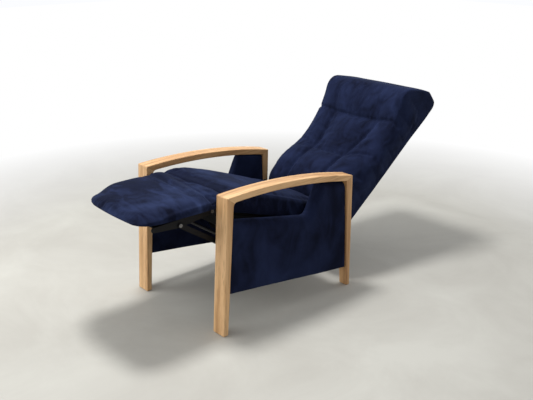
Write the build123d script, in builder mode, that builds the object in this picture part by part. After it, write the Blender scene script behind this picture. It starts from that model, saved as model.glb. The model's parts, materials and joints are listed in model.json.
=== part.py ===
"""Push-back recliner with oak arm frames, modelled fully reclined with its legrest out.

Millimetres. +X is the sitter's left, the chair faces -Y, +Z is up and the floor is z = 0.
Side profiles are drawn in chair coordinates: the distance behind the foot of the front legs, then the height.
The seat and the back have side planes of their own, along their slopes.
"""

from math import cos, radians, sin
import os

from build123d import *

os.makedirs("parts", exist_ok=True)

# Where the chair stands in its frame: the middle of its reclined length is at y = 0
front_to_centre = 582
overrun = 50
fit_gap = 0.4
running_gap = 0.05

# Arm frames
arm_outer = 329
front_leg_width = 73
rail_rear_width = 68
rear_foot_width = 47
arm_rounding = 3
glide_height = 3

front_foot = (4, glide_height)
front_foot_back = (30, glide_height)
front_top = (37, 620)
front_inner = (70, 594)
rear_top = (786, 562)
rear_inner = (747, 541)
rear_foot = (792, glide_height)
rear_foot_front = (771, glide_height)
rail_top_bow = 27
rail_under_bow = 22
inner_corner_radius = 20
outer_corner_radius = 5
mitre_overrun_share = 0.22
corner_dowel_shares = (0.3, 0.72)
arm_inner = arm_outer - front_leg_width

# Side panels
panel_outer_setback = 7
panel_padding = 36
panel_front_low = 189
panel_rear_low = 93
ledge_front_height = 511
ledge_rear = (504, 422)
wing_foot_setback = 20
wing_top_setback = 90
wing_corner_radius = 26
panel_outer_rounding_share = 0.712
panel_inner_rounding_share = 0.22
board_skin = 5
board_thickness = 18
panel_outer = arm_outer - panel_outer_setback
panel_inner = panel_outer - panel_padding - board_thickness - board_skin
board_inset = 18
board_end_gap = 6

# Dowels, screws and glides
dowel_radius = 4
corner_dowel_reach = 14
panel_dowel_reach = 20
screw_radius = 2.2
screw_head_radius = 4.5
screw_head_height = 2.5
glide_radius = 9
glide_pin_radius = 1.5
glide_pin_length = 14

# Seat: its side plane starts at the front of the frame, at the top of the rails
seat_slope = 17.8
seat_origin = (100, 520)
seat_frame_length = 605
seat_frame_side_gap = 45
seat_frame_half_width = panel_inner - seat_frame_side_gap
rail_thickness = 25
seat_rail_height = 65
cushion_side_gap = 17
cushion_half_width = panel_inner - cushion_side_gap

# Back: its side plane starts at the hinge
back_slope = 39.4
back_hinge = (728, 405)
back_length = 838
back_side_gap = 13
back_half_width = panel_inner - back_side_gap
back_frame_front = -115
back_post_depth = 45
back_post_length = 760
back_frame_foot = -15
back_rail_width = 38
back_rail_places = (0, 330, 722)
back_strap_count = 8
back_cover_rear = -196
back_cover_hollow = -179
back_cover_wall = 14
back_cover_room_rear = -162
back_cover_foot = -45
back_cover_corner = 40
back_bracket_reach = 170
back_bracket_width = 30
back_bracket_foot_radius = 20
back_cushion_foot = 28
# Each row is one section of the back's cushion: its place, how much narrower it is than the cushion's half width,
# its side height, its seam's place as a share of that half width, its seam's height, and the heights of its centre
# panel and of its side bolsters
back_cushion_rows = (
    (28, 8, -30, 0.435, -4, 4, 2),
    (60, 1, -14, 0.435, 12, 24, 22),
    (150, -1, -5, 0.435, 24, 38, 36),
    (225, -3, -17, 0.427, 8, 20, 20),
    (290, -6, -36, 0.427, -18, -8, -8),
    (345, -7, -48, 0.455, -29, -12, -15),
    (436, -7, -45, 0.537, -36, -14, -17),
    (540, -7, -23, 0.626, -32, -22, -9),
    (600, -7, 8, 0.634, 20, 30, 26),
    (655, -7, 32, 0.634, 45, 52, 48),
    (695, -7, 33, 0.634, 46, 51, 48),
    (730, -7, 17, 0.634, 33, 38, 34),
    (765, -7, -13, 0.634, 4, 9, 5),
    (800, -5, -54, 0.626, -39, -34, -38),
    (825, 2, -88, 0.61, -78, -74, -78),
    (836, 13, -105, 0.593, -99, -96, -99),
)

# Legrest, which lies level when it is out
legrest_hinge = (35, 540)
legrest_board_thickness = 12
legrest_board_side_inset = 13
legrest_board_half_width = seat_frame_half_width - legrest_board_side_inset
legrest_board_front = -282
legrest_board_rear = 20
legrest_board_corner = 60
legrest_flange_thickness = 3.5
legrest_flange_overlap = 19
legrest_flange_inner = legrest_board_half_width - legrest_flange_overlap
legrest_bracket_front = -264
# Each row is one section of the legrest's pad: its place, how much narrower it is than the cushion's half width,
# its side height and its crown height
legrest_pad_rows = (
    (-310, 74, 558, 562),
    (-300, 48, 562, 570),
    (-275, 22, 568, 583),
    (-235, 6, 574, 594),
    (-180, 0, 579, 601),
    (-110, 0, 582, 606),
    (-40, 0, 582, 606),
    (15, 0, 580, 603),
    (34, 2, 577, 596),
)
# Each row is one section of the seat's cushion, in the same order
seat_cushion_rows = (
    (-20, 8, 48, 64),
    (0, 2, 66, 80),
    (40, 0, 82, 94),
    (100, 0, 94, 107),
    (230, 0, 97, 110),
    (390, 0, 91, 105),
    (503, 0, 86, 100),
    (590, 0, 84, 98),
    (611, 3, 76, 90),
)
side_bulge = 3
# Each row is one section of the bridge pad between the seat and the legrest, in the same order
bridge_low = 552
bridge_rows = (
    (38, 6, 577, 589),
    (46, 2, 581, 595),
    (68, 0, 582, 597),
    (84, 1, 577, 592),
    (88.9, 3, 573, 588),
)

# Steel linkage: plates lie in layers outside the seat frame
plate_thickness = 4
link_thickness = 5
layer_gap = 0.5
seat_pivot = (624, 320)
crank_pivot = (240, 405)
crank_reach = (-165, -20)
crank_arm = (-27.5, 35.8)
lift_link_pivot = (344.2, 356.7)
pivot_radius = 5
pivot_head_radius = 8
pivot_head_height = 2.5
seat_pivot_radius = 6
link_half_width = 11
open_pivot_gap = 1.2
base_plate_thickness = 4
cross_tube_radius = 12.5
cross_tube_wall = 2
cross_tube_place = (420, 240)
sync_bar_radius = 7
sync_bar_share = 0.72
rear_rail_place = (601, 192)
rear_rail_thickness = 22
rear_rail_height = 85

seat_pivot_boss = 24
lift_link_boss = 17
cross_tube_boss = 20
rear_rail_boss = 26
base_plate_margin = 34
base_plate_foot_lift = -14
window_shares = (0.3, 0.62, 0.45)
window_setback = 26
window_radius = 12
front_tube_place = (56, 538)
front_tube_radius = 7
front_tube_boss = 9
back_hinge_boss = 14
plate_elbow = (627, -10)
base_screw_reach = 19
rail_screw_share = 0.8
seat_screw_shares = ((0.0413, 0.42), (0.45, 0.333), (0.45, 0.667), (0.72, 0.5), (0.9793, 0.25))
back_screw_shares = (0.06, 0.5, 0.92)
legrest_screw_shares = (0.12, 0.5, 0.88)
corner_block_size = 48
corner_block_drop = 6
seat_strap_count = 7
strap_width = 50
strap_thickness = 3
strap_end_inset = 6
cover_cloth = 1.5

seat_plate_inner = seat_frame_half_width
seat_plate_outer = seat_plate_inner + plate_thickness
crank_inner = seat_plate_outer + layer_gap
crank_outer = crank_inner + link_thickness
link_inner = crank_outer + layer_gap
link_outer = link_inner + link_thickness
base_plate_outer = panel_inner
base_plate_inner = base_plate_outer - base_plate_thickness


def side_plane(x):
    """Chair coordinates: y behind the front feet, then the height."""
    return Plane(origin=(x, -front_to_centre, 0), x_dir=(0, 1, 0), z_dir=(1, 0, 0))


def sloped_plane(x, start, slope):
    """A side plane from a point in chair coordinates, whose first axis runs back and up at the slope."""
    along = (0, cos(radians(slope)), sin(radians(slope)))
    return Plane(origin=(x, start[0] - front_to_centre, start[1]), x_dir=along, z_dir=(1, 0, 0))


def seat_plane(x):
    return sloped_plane(x, seat_origin, -seat_slope)


def back_plane(x):
    return sloped_plane(x, back_hinge, back_slope)


def across(plane, distance):
    """The plane square to a side plane at a distance along it, with X across the chair."""
    return Plane(origin=plane.from_local_coords((distance, 0)), x_dir=(1, 0, 0), z_dir=-plane.x_dir)


def in_plane(plane, point):
    """A point in chair coordinates, in a sloped side plane's own coordinates."""
    local = plane.to_local_coords(side_plane(0).from_local_coords(point))
    return (local.X, local.Y)


def moved(point, by):
    return (point[0] + by[0], point[1] + by[1])


def between(start, end, share):
    return (start[0] + share * (end[0] - start[0]), start[1] + share * (end[1] - start[1]))


def write(piece, name):
    piece.part.label = name
    export_step(piece.part, f"parts/{name}.step")


def write_pair(left, name):
    """Writes a piece of the left side and its mirror image."""
    write(left, f"left_{name}")
    with BuildPart() as right:
        mirror(left.part, about=Plane.YZ)
    write(right, f"right_{name}")


def write_group(left, name):
    """Writes the pieces of both sides as one group of solids."""
    with BuildPart() as both:
        add(left.part)
        mirror(left.part, about=Plane.YZ)
    write(both, name)


def stepped_pin(place, steps, plane_at=side_plane):
    """A turned pin along X: steps of (start, end, radius)."""
    with BuildPart() as pin:
        for start, end, radius in steps:
            with BuildSketch(plane_at(start)) as disc:
                with Locations(place):
                    Circle(radius)
            extrude(disc.sketch, amount=end - start)
    return pin.part


def soft_section(plane, half, low, side, crown, bulge):
    """A cushion's cross section: flat below, bowed sides, one arc above."""
    with BuildSketch(plane) as section:
        with BuildLine():
            Line((-half, low), (half, low))
            ThreePointArc((half, low), (half + bulge, (low + side) / 2), (half, side))
            ThreePointArc((half, side), (0, crown), (-half, side))
            ThreePointArc((-half, side), (-half - bulge, (low + side) / 2), (-half, low))
        make_face()
    return section.sketch


# Arm frames: one outline, cut into three boards at the mitres
with BuildSketch(side_plane(arm_inner)) as arm_outline:
    with BuildLine():
        Line(front_foot, front_top)
        SagittaArc(front_top, rear_top, rail_top_bow)
        Line(rear_top, rear_foot)
        Line(rear_foot, rear_foot_front)
        Line(rear_foot_front, rear_inner)
        SagittaArc(rear_inner, front_inner, -rail_under_bow)
        Line(front_inner, front_foot_back)
        Line(front_foot_back, front_foot)
    make_face()
    corners = arm_outline.vertices()
    fillet(corners.sort_by_distance(front_inner)[0], radius=inner_corner_radius)
    corners = arm_outline.vertices()
    outer_corners = [corners.sort_by_distance(front_top)[0], corners.sort_by_distance(rear_top)[0]]
    fillet(outer_corners, radius=outer_corner_radius)


def mitre_plane(outer, inner):
    """The plane through both corners of the arm frame, across the chair."""
    start = side_plane(0).from_local_coords(outer)
    end = side_plane(0).from_local_coords(inner)
    return Plane(origin=start, x_dir=(1, 0, 0), z_dir=(end - start).cross(Vector(1, 0, 0)))


front_mitre = mitre_plane(front_top, front_inner)
rear_mitre = mitre_plane(rear_top, rear_inner)


def mitre_line(outer, inner):
    """Both ends of a mitre, carried past the corners of the outline."""
    return between(outer, inner, -mitre_overrun_share), between(outer, inner, 1 + mitre_overrun_share)


front_mitre_line = mitre_line(front_top, front_inner)
rear_mitre_line = mitre_line(rear_top, rear_inner)
front_leg_region = [
    *front_mitre_line,
    (front_mitre_line[1][0], -overrun),
    (-overrun, -overrun),
    (-overrun, front_top[1]),
]
rear_leg_region = [*rear_mitre_line, (rear_mitre_line[1][0], -overrun), (rear_mitre_line[0][0], -overrun)]


def taper_plane(front, front_width, rear, rear_width):
    """The inner face of a board that narrows from one point of its outline to another."""
    start = side_plane(arm_outer - front_width).from_local_coords(front)
    end = side_plane(arm_outer - rear_width).from_local_coords(rear)
    run = end - start
    level = Vector(0, -run.Z, run.Y)
    return Plane(origin=start, x_dir=run, z_dir=run.cross(level))


def round_long_edges(board, mitres):
    """Rounds a board's long edges, and leaves its foot, its ends and its mitres sharp."""
    long_edges = []
    for edge in board.edges():
        middle = edge.center()
        runs_across = abs((edge @ 1 - edge @ 0).X) > edge.length / 2
        on_end = middle.Z < glide_height + fit_gap
        on_mitre = any(abs(mitre.to_local_coords(middle).Z) < fit_gap for mitre in mitres)
        if not (runs_across or on_end or on_mitre):
            long_edges.append(edge)
    fillet(long_edges, radius=arm_rounding)


def outward(plane):
    """The same plane with its normal towards +X."""
    return plane if plane.z_dir.X > 0 else Plane(origin=plane.origin, x_dir=plane.x_dir, z_dir=-plane.z_dir)


rail_taper = outward(taper_plane(front_top, front_leg_width, rear_top, rail_rear_width))
rear_leg_taper = outward(taper_plane(rear_top, rail_rear_width, rear_foot, rear_foot_width))

corner_dowel_places = []
for mitre, outer, inner in ((front_mitre, front_top, front_inner), (rear_mitre, rear_top, rear_inner)):
    for share in corner_dowel_shares:
        x = arm_inner + share * front_leg_width
        middle = between(outer, inner, 0.5)
        corner_dowel_places.append(Plane(origin=side_plane(x).from_local_coords(middle), z_dir=mitre.z_dir))

panel_dowel_x = panel_inner + board_skin + board_thickness / 2
front_dowel_heights = (260, 440)
rear_dowel_heights = (300, 470)


def leg_line(foot, top, height):
    """How far back a leg's straight edge is at a height."""
    return between(foot, top, (height - foot[1]) / (top[1] - foot[1]))[0]


panel_dowel_places = [
    (leg_line(front_foot_back, front_inner, height), height) for height in front_dowel_heights
] + [(leg_line(rear_foot_front, rear_inner, height), height) for height in rear_dowel_heights]


def panel_dowel_planes():
    """Planes square to Y at the faces of the legs where the panel's board is doweled."""
    planes = []
    for place in panel_dowel_places:
        planes.append(Plane(origin=side_plane(panel_dowel_x).from_local_coords(place), z_dir=(0, 1, 0)))
    return planes


def cut_dowel_holes():
    """Cuts the holes of all dowels of the left side from the part in the making."""
    for plane in corner_dowel_places:
        with BuildSketch(plane) as hole:
            Circle(dowel_radius)
        extrude(hole.sketch, amount=corner_dowel_reach, both=True, mode=Mode.SUBTRACT)
    for plane in panel_dowel_planes():
        with BuildSketch(plane) as hole:
            Circle(dowel_radius)
        extrude(hole.sketch, amount=panel_dowel_reach, both=True, mode=Mode.SUBTRACT)


def glide_hole(place):
    """Cuts the hole of a foot glide's pin."""
    with BuildSketch(Plane.XY.offset(glide_height)) as hole:
        with Locations(place):
            Circle(glide_pin_radius)
    extrude(hole.sketch, amount=glide_pin_length, mode=Mode.SUBTRACT)


front_glide_place = (
    arm_outer - front_leg_width / 2,
    (front_foot[0] + front_foot_back[0]) / 2 - front_to_centre,
)
rear_glide_place = (
    arm_outer - rear_foot_width / 2,
    (rear_foot[0] + rear_foot_front[0]) / 2 - front_to_centre,
)


def boards_of(region, mode):
    """The part of the arm's outline inside or outside a region."""
    with BuildSketch(side_plane(arm_inner)) as board:
        add(arm_outline.sketch_local)
        with BuildLine():
            Polyline(*region, close=True)
        make_face(mode=mode)
    return board.sketch


with BuildPart() as front_leg:
    extrude(boards_of(front_leg_region, Mode.INTERSECT), amount=front_leg_width)
    round_long_edges(front_leg, [front_mitre])
    cut_dowel_holes()
    glide_hole(front_glide_place)
write_pair(front_leg, "front_leg")

with BuildSketch(side_plane(arm_inner)) as rail_outline:
    add(arm_outline.sketch_local)
    for leg_region in (front_leg_region, rear_leg_region):
        with BuildLine():
            Polyline(*leg_region, close=True)
        make_face(mode=Mode.SUBTRACT)

with BuildPart() as arm_rail:
    extrude(rail_outline.sketch, amount=front_leg_width)
    split(bisect_by=rail_taper, keep=Keep.TOP)
    round_long_edges(arm_rail, [front_mitre, rear_mitre])
    cut_dowel_holes()
write_pair(arm_rail, "arm_rail")

with BuildPart() as rear_leg:
    extrude(boards_of(rear_leg_region, Mode.INTERSECT), amount=front_leg_width)
    split(bisect_by=rear_leg_taper, keep=Keep.TOP)
    round_long_edges(rear_leg, [rear_mitre])
    cut_dowel_holes()
    glide_hole(rear_glide_place)
write_pair(rear_leg, "rear_leg")

with BuildPart() as corner_dowels:
    for plane in corner_dowel_places:
        with BuildSketch(plane) as dowel_section:
            Circle(dowel_radius)
        extrude(dowel_section.sketch, amount=corner_dowel_reach, both=True)
write_group(corner_dowels, "corner_dowels")

with BuildPart() as panel_dowels:
    for plane in panel_dowel_planes():
        with BuildSketch(plane) as dowel_section:
            Circle(dowel_radius)
        extrude(dowel_section.sketch, amount=panel_dowel_reach, both=True)
write_group(panel_dowels, "panel_dowels")

with BuildPart() as foot_glides:
    for place in (front_glide_place, rear_glide_place):
        with BuildSketch() as glide_foot:
            with Locations(place):
                Circle(glide_radius)
        extrude(glide_foot.sketch, amount=glide_height)
        with BuildSketch(Plane.XY.offset(glide_height)) as glide_pin:
            with Locations(place):
                Circle(glide_pin_radius)
        extrude(glide_pin.sketch, amount=glide_pin_length)
write_group(foot_glides, "foot_glides")


# Side panels: a padded cover round a board, between the legs and under the rail
def under_rail_arc():
    """The circle of the rail's underside: its centre and radius in chair coordinates."""
    run = (rear_inner[0] - front_inner[0], rear_inner[1] - front_inner[1])
    half_chord = (run[0] ** 2 + run[1] ** 2) ** 0.5 / 2
    radius = (half_chord**2 + rail_under_bow**2) / (2 * rail_under_bow)
    middle = between(front_inner, rear_inner, 0.5)
    drop_share = (radius - rail_under_bow) / (2 * half_chord)
    return (middle[0] + run[1] * drop_share, middle[1] - run[0] * drop_share), radius


def under_rail(y, gap):
    """The height of the rail's underside at y, less a gap."""
    centre, radius = under_rail_arc()
    return centre[1] + ((radius - gap) ** 2 - (y - centre[0]) ** 2) ** 0.5


def front_leg_back(height, gap):
    return (leg_line(front_foot_back, front_inner, height) + gap, height)


def rear_leg_front(height, gap):
    return (leg_line(rear_foot_front, rear_inner, height) - gap, height)


wing_foot = moved(ledge_rear, (wing_foot_setback, 0))
wing_top_y = ledge_rear[0] + wing_top_setback
panel_rear_top_y = rear_leg_front(rear_inner[1], fit_gap)[0]


def panel_outline(inset, low_inset):
    """The side panel's face; an inset draws its board's face instead."""
    end_gap = fit_gap + (board_end_gap if inset else 0)
    wing_y = wing_top_y + inset
    rear_y = panel_rear_top_y - (board_end_gap if inset else 0)
    top_gap = fit_gap + inset
    middle_y = (wing_y + rear_y) / 2
    with BuildSketch(side_plane(0)) as face:
        with BuildLine():
            Polyline(
                (rear_y, under_rail(rear_y, top_gap)),
                rear_leg_front(panel_rear_low + low_inset, end_gap),
                front_leg_back(panel_front_low + low_inset, end_gap),
                front_leg_back(ledge_front_height - inset, end_gap),
                (wing_foot[0] + inset, wing_foot[1] - inset),
                (wing_y, under_rail(wing_y, top_gap)),
            )
            ThreePointArc(
                (wing_y, under_rail(wing_y, top_gap)),
                (middle_y, under_rail(middle_y, top_gap)),
                (rear_y, under_rail(rear_y, top_gap)),
            )
        make_face()
        foot = face.vertices().sort_by_distance((wing_foot[0] + inset, wing_foot[1] - inset))[0]
        fillet(foot, radius=wing_corner_radius)
    return face.sketch_local


base_screw_places = [
    moved(seat_pivot, (-base_plate_margin, base_plate_margin / 2)),
    moved(seat_pivot, (base_plate_margin / 3, -base_plate_margin)),
    moved(lift_link_pivot, (-base_plate_margin / 3, -base_plate_margin)),
    moved(lift_link_pivot, (base_plate_margin, base_plate_margin / 3)),
    moved(rear_rail_place, (-base_plate_margin, 0)),
    moved(cross_tube_place, (base_plate_margin, base_plate_margin / 3)),
]


def cut_base_screw_holes():
    """Cuts the holes of the base plate's screws from the panel or its board."""
    with BuildSketch(side_plane(base_plate_inner)) as holes:
        with Locations(*base_screw_places):
            Circle(screw_radius)
    extrude(holes.sketch, amount=base_screw_reach, mode=Mode.SUBTRACT)


panel_board_inner = panel_inner + board_skin
with BuildPart() as panel_board:
    with BuildSketch(side_plane(panel_board_inner)):
        add(panel_outline(board_inset, 0))
    extrude(amount=board_thickness)
    cut_dowel_holes()
    cut_base_screw_holes()
write_pair(panel_board, "panel_board")

with BuildPart() as panel_cover:
    with BuildSketch(side_plane(panel_inner)):
        add(panel_outline(0, 0))
    extrude(amount=panel_outer - panel_inner)
    outer_edges = []
    inner_edges = []
    for edge in panel_cover.edges():
        place = side_plane(0).to_local_coords(edge.center())
        if abs((edge @ 1 - edge @ 0).X) > fit_gap:
            continue
        above = place.Y > ledge_rear[1] and place.Y < under_rail(wing_top_y, board_inset / 2)
        if above and place.X > front_leg_back(place.Y, board_inset)[0] and place.X < wing_top_y:
            on_outer_face = edge.center().X > (panel_inner + panel_outer) / 2
            (outer_edges if on_outer_face else inner_edges).append(edge)
    fillet(outer_edges, radius=(panel_outer - panel_inner) * panel_outer_rounding_share)
    fillet(inner_edges, radius=(panel_outer - panel_inner) * panel_inner_rounding_share)
    with BuildSketch(side_plane(panel_board_inner)) as board_room:
        add(panel_outline(board_inset, 0))
    extrude(board_room.sketch, amount=board_thickness, mode=Mode.SUBTRACT)
    cut_dowel_holes()
    cut_base_screw_holes()
write_pair(panel_cover, "side_panel")


def circles_hull(plane, circles):
    """A plate's outline: the hull of circles given as (place, radius)."""
    with BuildSketch(plane) as outline:
        for place, radius in circles:
            with Locations(place):
                Circle(radius)
        make_hull()
    return outline.sketch


def plate_hole(plane, places, radius):
    """Cuts round holes through a plate, from its inner face outwards."""
    with BuildSketch(plane) as holes:
        with Locations(*places):
            Circle(radius)
    extrude(holes.sketch, amount=overrun, both=True, mode=Mode.SUBTRACT)


# Base plates on the inner faces of the side panels, with the cross tube and the rear rail between them
with BuildPart() as base_plate:
    plate_face = circles_hull(
        side_plane(base_plate_inner),
        [
            (seat_pivot, seat_pivot_boss),
            (lift_link_pivot, lift_link_boss),
            (cross_tube_place, cross_tube_boss),
            (moved(rear_rail_place, (0, base_plate_foot_lift)), rear_rail_boss),
        ],
    )
    extrude(plate_face, amount=base_plate_thickness)
    window_corners = [
        moved(between(seat_pivot, lift_link_pivot, window_shares[0]), (0, -window_setback)),
        moved(between(seat_pivot, lift_link_pivot, window_shares[1]), (0, -window_setback)),
        moved(between(rear_rail_place, cross_tube_place, window_shares[2]), (0, window_setback)),
    ]
    window_circles = [(corner, window_radius) for corner in window_corners]
    window = circles_hull(side_plane(base_plate_inner), window_circles)
    extrude(window, amount=base_plate_thickness, mode=Mode.SUBTRACT)
    plate_hole(side_plane(base_plate_inner), base_screw_places, screw_radius)
write_pair(base_plate, "base_plate")

with BuildPart() as cross_tube:
    with BuildSketch(side_plane(-base_plate_inner)):
        with Locations(cross_tube_place):
            Circle(cross_tube_radius)
            Circle(cross_tube_radius - cross_tube_wall, mode=Mode.SUBTRACT)
    extrude(amount=2 * base_plate_inner)
write(cross_tube, "cross_tube")

with BuildPart() as rear_rail:
    with BuildSketch(side_plane(-base_plate_inner)):
        with Locations(rear_rail_place):
            Rectangle(rear_rail_thickness, rear_rail_height)
    extrude(amount=2 * base_plate_inner)
    fillet(rear_rail.edges().filter_by(Axis.X), radius=arm_rounding)
write(rear_rail, "rear_cross_rail")


def screws(places, plane_at, tip, seat, side):
    """Pan-head screws along X: tip, the face under the head, and the side that the head is on."""
    with BuildPart() as group:
        for place in places:
            add(stepped_pin(place, [(min(tip, seat), max(tip, seat), screw_radius)], plane_at))
            head = (seat, seat + side * screw_head_height)
            add(stepped_pin(place, [(min(head), max(head), screw_head_radius)], plane_at))
    return group


base_screw_tip = base_plate_inner + base_screw_reach
base_plate_screws = screws(base_screw_places, side_plane, base_screw_tip, base_plate_inner, -1)
write_group(base_plate_screws, "base_plate_screws")

with BuildPart() as seat_pivot_pins:
    add(stepped_pin(seat_pivot, [
        (seat_plate_inner - pivot_head_height, seat_plate_inner - running_gap, pivot_head_radius),
        (seat_plate_inner - running_gap, seat_plate_outer + layer_gap, seat_pivot_radius),
        (seat_plate_outer + layer_gap, base_plate_inner, seat_pivot_radius + layer_gap + pivot_head_height),
    ]))
write_group(seat_pivot_pins, "seat_pivot_pins")

with BuildPart() as lift_link_pins:
    add(stepped_pin(lift_link_pivot, [
        (link_inner - layer_gap - pivot_head_height, link_inner - layer_gap, pivot_head_radius),
        (link_inner - layer_gap, link_outer + layer_gap, pivot_radius),
        (link_outer + layer_gap, base_plate_inner, pivot_head_radius),
    ]))
write_group(lift_link_pins, "lift_link_pins")


# Seat frame
side_rail_inner = seat_frame_half_width - rail_thickness
seat_pivot_in_seat = in_plane(seat_plane(0), seat_pivot)
crank_pivot_in_seat = in_plane(seat_plane(0), crank_pivot)
back_hinge_in_seat = in_plane(seat_plane(0), back_hinge)
legrest_hinge_in_seat = in_plane(seat_plane(0), legrest_hinge)
front_tube_in_seat = in_plane(seat_plane(0), front_tube_place)

seat_screw_places = [
    (seat_frame_length * along, -seat_rail_height * down) for along, down in seat_screw_shares
]

with BuildPart() as seat_side_rail:
    with BuildSketch(seat_plane(side_rail_inner)):
        with Locations((seat_frame_length / 2, -seat_rail_height / 2)):
            Rectangle(seat_frame_length, seat_rail_height)
    extrude(amount=rail_thickness)
    with BuildSketch(seat_plane(seat_frame_half_width)) as pin_room:
        with Locations(seat_pivot_in_seat):
            Circle(pivot_head_radius + layer_gap)
    extrude(pin_room.sketch, amount=-2 * pivot_head_height, mode=Mode.SUBTRACT)
    plate_hole(seat_plane(seat_frame_half_width), seat_screw_places, screw_radius)
write_pair(seat_side_rail, "seat_side_rail")


def seat_cross_rail(start):
    """A rail across the seat frame, from a place along its side."""
    with BuildPart() as rail:
        with BuildSketch(seat_plane(-side_rail_inner)) as section:
            with Locations((start + rail_thickness / 2, -seat_rail_height / 2)):
                Rectangle(rail_thickness, seat_rail_height)
        extrude(section.sketch, amount=2 * side_rail_inner)
    return rail


seat_front_rail = seat_cross_rail(0)
write(seat_front_rail, "seat_front_rail")
seat_rear_rail = seat_cross_rail(seat_frame_length - rail_thickness)
write(seat_rear_rail, "seat_rear_rail")

with BuildPart() as corner_blocks:
    for start, turn in ((rail_thickness, 1), (seat_frame_length - rail_thickness, -1)):
        corner = (start, -seat_rail_height + corner_block_drop)
        block_plane = Plane(
            origin=seat_plane(side_rail_inner).from_local_coords(corner),
            x_dir=seat_plane(0).x_dir,
            z_dir=seat_plane(0).y_dir,
        )
        with BuildSketch(block_plane) as block:
            Polygon((0, 0), (turn * corner_block_size, 0), (0, corner_block_size), align=None)
        extrude(block.sketch, amount=corner_block_size)
write_group(corner_blocks, "seat_corner_blocks")

with BuildPart() as seat_webbing:
    for number in range(seat_strap_count):
        middle = rail_thickness + strap_width + number * (
            seat_frame_length - 2 * rail_thickness - 2 * strap_width
        ) / (seat_strap_count - 1)
        with BuildSketch(seat_plane(-seat_frame_half_width + strap_end_inset)) as strap:
            with Locations((middle, strap_thickness / 2)):
                Rectangle(strap_width, strap_thickness)
        extrude(strap.sketch, amount=2 * (seat_frame_half_width - strap_end_inset))
write(seat_webbing, "seat_webbing")

with BuildPart() as seat_dust_cover:
    with BuildSketch(seat_plane(-seat_frame_half_width + strap_end_inset)):
        with Locations((seat_frame_length / 2, -seat_rail_height - cover_cloth / 2)):
            Rectangle(seat_frame_length - strap_end_inset, cover_cloth)
    extrude(amount=2 * (seat_frame_half_width - strap_end_inset))
write(seat_dust_cover, "seat_dust_cover")

# Seat plates, which carry the pivots of the back, the legrest and the cranks
with BuildPart() as seat_plate:
    plate_level = seat_plane(seat_plate_inner)
    for hull in (
        [
            (legrest_hinge_in_seat, link_half_width),
            (front_tube_in_seat, front_tube_boss),
            (seat_screw_places[0], rail_thickness / 2),
        ],
        [
            (seat_screw_places[0], rail_thickness / 2),
            (crank_pivot_in_seat, link_half_width + pivot_head_height),
            (seat_screw_places[1], rail_thickness / 2),
        ],
        [
            (seat_screw_places[1], rail_thickness / 2),
            (seat_screw_places[2], rail_thickness / 2),
            (seat_screw_places[3], rail_thickness / 2),
            (seat_pivot_in_seat, seat_pivot_boss - plate_thickness),
        ],
        [
            (seat_pivot_in_seat, seat_pivot_boss - plate_thickness),
            (seat_screw_places[4], rail_thickness / 2),
            (plate_elbow, rail_thickness / 2),
        ],
        [
            (plate_elbow, rail_thickness / 2),
            (back_hinge_in_seat, back_hinge_boss),
        ],
    ):
        extrude(circles_hull(plate_level, hull), amount=plate_thickness)
    plate_hole(plate_level, [seat_pivot_in_seat], seat_pivot_radius + running_gap)
    plate_hole(plate_level, [legrest_hinge_in_seat, crank_pivot_in_seat, back_hinge_in_seat], pivot_radius)
    plate_hole(plate_level, seat_screw_places, screw_radius)
    plate_hole(plate_level, [front_tube_in_seat], front_tube_radius)
write_pair(seat_plate, "seat_plate")

with BuildPart() as seat_front_tube:
    with BuildSketch(seat_plane(-seat_plate_outer)):
        with Locations(front_tube_in_seat):
            Circle(front_tube_radius)
            Circle(front_tube_radius - cross_tube_wall, mode=Mode.SUBTRACT)
    extrude(amount=2 * seat_plate_outer)
write(seat_front_tube, "seat_front_tube")

seat_screw_tip = seat_frame_half_width - rail_thickness * rail_screw_share
seat_plate_screws = screws(seat_screw_places, seat_plane, seat_screw_tip, seat_plate_outer, 1)
write_group(seat_plate_screws, "seat_plate_screws")

plate_stud_steps = [
    (seat_plate_inner, crank_outer + layer_gap, pivot_radius),
    (crank_outer + layer_gap, crank_outer + layer_gap + pivot_head_height, pivot_head_radius),
]
sunk_stud_steps = [
    (seat_plate_inner, crank_outer - pivot_head_height, pivot_radius),
    (crank_outer - pivot_head_height, crank_outer, pivot_head_radius),
]
with BuildPart() as seat_plate_studs:
    for place in (legrest_hinge, back_hinge):
        add(stepped_pin(place, plate_stud_steps))
    add(stepped_pin(crank_pivot, sunk_stud_steps))
write_group(seat_plate_studs, "seat_plate_studs")


# Legrest linkage: on each side a crank, a coupler and a lift link
crank_end = moved(crank_pivot, crank_reach)
crank_arm_end = moved(crank_pivot, crank_arm)
coupler_end = moved(legrest_hinge, crank_reach)
sync_bar_place = between(crank_pivot, crank_end, sync_bar_share)

with BuildPart() as crank:
    level = side_plane(crank_inner)
    for hull in (
        [(crank_pivot, link_half_width + pivot_head_height), (crank_arm_end, link_half_width)],
        [(crank_pivot, link_half_width + pivot_head_height), (sync_bar_place, link_half_width)],
        [(sync_bar_place, link_half_width), (crank_end, link_half_width)],
    ):
        extrude(circles_hull(level, hull), amount=link_thickness)
    plate_hole(level, [crank_pivot], pivot_radius + running_gap)
    with BuildSketch(side_plane(crank_outer)) as head_room:
        with Locations(crank_pivot):
            Circle(pivot_head_radius + layer_gap)
    extrude(head_room.sketch, amount=-pivot_head_height - layer_gap, mode=Mode.SUBTRACT)
    plate_hole(level, [crank_end, crank_arm_end], pivot_radius)
    plate_hole(level, [sync_bar_place], sync_bar_radius)
write_pair(crank, "crank")

with BuildPart() as coupler:
    coupler_ends = [(crank_end, link_half_width), (coupler_end, link_half_width)]
    extrude(circles_hull(side_plane(link_inner), coupler_ends), amount=link_thickness)
    plate_hole(side_plane(link_inner), [crank_end], pivot_radius + running_gap)
    plate_hole(side_plane(link_inner), [coupler_end], pivot_radius + layer_gap)
write_pair(coupler, "coupler")

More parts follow.
